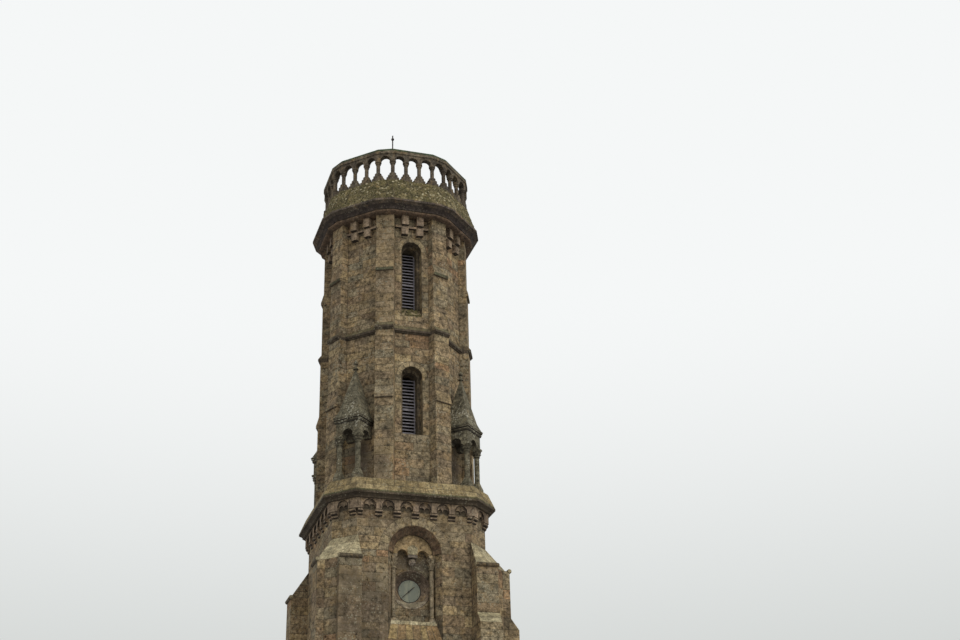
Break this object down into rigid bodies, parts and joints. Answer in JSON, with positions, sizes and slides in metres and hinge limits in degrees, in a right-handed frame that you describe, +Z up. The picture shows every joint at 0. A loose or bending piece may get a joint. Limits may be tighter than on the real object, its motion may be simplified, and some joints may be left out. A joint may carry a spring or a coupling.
{
  "type": "bell tower",
  "caption": "Stone bell tower: square stage with corner piers and a clock niche, octagonal belfry with louvres and corner aedicules, balustraded terrace.",
  "frame": {"origin": "on the tower's axis at ground level", "axes": "+Z up, the clock's side faces -Y, +X to the right seen from the front"},
  "size_m": [6.74, 6.74, 31.359],
  "materials": {
    "ashlar": "tooled ashlar, weathered, with lichen and thin joints",
    "floor_stone": "worn flagstones",
    "weathering_stone": "weathered sloping stones with moss",
    "mossy_stone": "stone under a coat of moss",
    "balustrade_stone": "dark weathered stone with lichen",
    "aedicule_stone": "grey-green weathered stone with pale lichen",
    "niche_stone": "dressed stone, weathered",
    "slate": "split slate slats",
    "door_wood": "oak planks, oiled and weathered",
    "dial": "painted grey-green dial, dull",
    "hands": "black painted hands",
    "rod": "dark iron"
  },
  "bodies": {
    "tower": {"ground_floor": "floor_stone", "front_wall_foot": "ashlar", "door_leaf": "door_wood", "front_wall": "ashlar", "clock_bay": "ashlar", "right_wall": "ashlar", "back_wall": "ashlar", "left_wall": "ashlar", "front_left_pier": "ashlar", "front_right_pier": "ashlar", "back_right_pier": "ashlar", "back_left_pier": "ashlar", "squinches": "ashlar", "corbel_table_sides": "ashlar", "corbel_table_corners": "ashlar", "lower_cornice": "weathering_stone", "niche_columns": "niche_stone", "niche_tympanum": "niche_stone", "head_corbel": "niche_stone", "clock_surround": "niche_stone", "clock_dial": "dial", "belfry_floors": "floor_stone", "belfry_front_wall": "ashlar", "belfry_right_wall": "ashlar", "belfry_back_wall": "ashlar", "belfry_left_wall": "ashlar", "belfry_corner_walls": "ashlar", "belfry_piers": "ashlar", "string_course_piers": "weathering_stone", "string_course_walls": "weathering_stone", "louvres": "slate", "cornice_brackets": "ashlar", "aedicule_columns": "aedicule_stone", "aedicule_arches": "aedicule_stone", "aedicule_roofs": "aedicule_stone", "cornice_sides": "ashlar", "cornice_corners": "ashlar", "terrace_floor": "floor_stone", "parapet_sides": "mossy_stone", "parapet_corners": "mossy_stone", "balusters": "balustrade_stone", "arcade_sides": "balustrade_stone", "arcade_corners": "balustrade_stone", "coping_sides": "balustrade_stone", "coping_corners": "balustrade_stone", "lightning_rod": "rod"},
    "minute_hand": {"minute_hand": "hands"},
    "hour_hand": {"hour_hand": "hands"}
  },
  "joints": [
    {"name": "minute_turn", "type": "hinge", "parent": "tower", "child": "minute_hand", "pos_m": [0, -1.77, 13.64], "axis": [0, 1, 0], "continuous": true},
    {"name": "hour_turn", "type": "hinge", "parent": "tower", "child": "hour_hand", "pos_m": [0, -1.755, 13.64], "axis": [0, 1, 0], "continuous": true}
  ],
  "couplings": [
    {"joint": "hour_turn", "follows": "minute_turn", "ratio": 0.083333}
  ]
}
